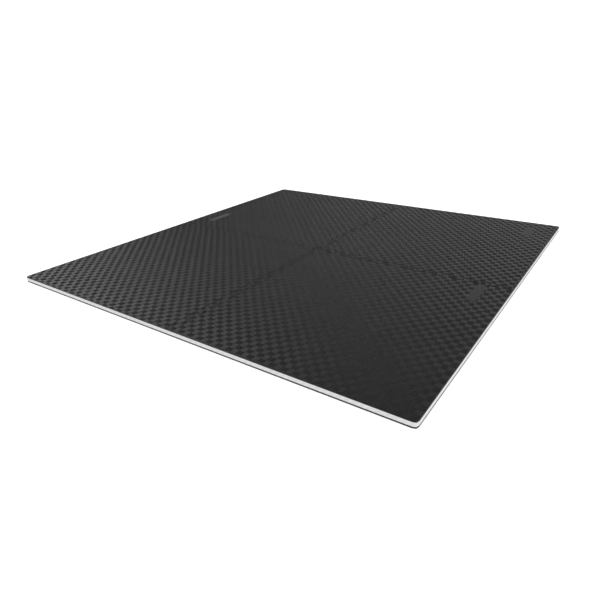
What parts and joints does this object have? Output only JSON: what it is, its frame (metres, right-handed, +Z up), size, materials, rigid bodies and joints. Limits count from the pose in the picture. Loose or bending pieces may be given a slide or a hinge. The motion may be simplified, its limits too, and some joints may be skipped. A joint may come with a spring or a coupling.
{
  "type": "interlocking gym mat",
  "caption": "Square foam gym mat of dovetail-toothed tiles, each a white core between black skins, with a basket-weave playing surface and plain outer edges.",
  "frame": {"origin": "centre of the underside, on the floor, where the four tiles meet", "axes": "X and Y along the mat's outer edges, +Z up; the back tile is at -X +Y, the left tile at -X -Y, the front tile at +X -Y and the right tile at +X +Y"},
  "size_m": [2, 2, 0.025],
  "materials": {
    "playing_skin": "embossed satin foam skin",
    "core_foam": "matte cut foam",
    "ground_skin": "matte foam skin"
  },
  "bodies": {
    "back_tile": {"back_tile_ground_skin": "ground_skin", "back_tile_core": "core_foam", "back_tile_playing_skin": "playing_skin"},
    "left_tile": {"left_tile_ground_skin": "ground_skin", "left_tile_core": "core_foam", "left_tile_playing_skin": "playing_skin"},
    "front_tile": {"front_tile_ground_skin": "ground_skin", "front_tile_core": "core_foam", "front_tile_playing_skin": "playing_skin"},
    "right_tile": {"right_tile_ground_skin": "ground_skin", "right_tile_core": "core_foam", "right_tile_playing_skin": "playing_skin"}
  },
  "joints": [
    {"name": "left_tile_lift", "type": "slide", "parent": "back_tile", "child": "left_tile", "axis": [0, 0, 1], "range_m": [0, 0.1]},
    {"name": "front_tile_lift", "type": "slide", "parent": "back_tile", "child": "front_tile", "axis": [0, 0, 1], "range_m": [0, 0.1]},
    {"name": "right_tile_lift", "type": "slide", "parent": "back_tile", "child": "right_tile", "axis": [0, 0, 1], "range_m": [0, 0.1]}
  ]
}
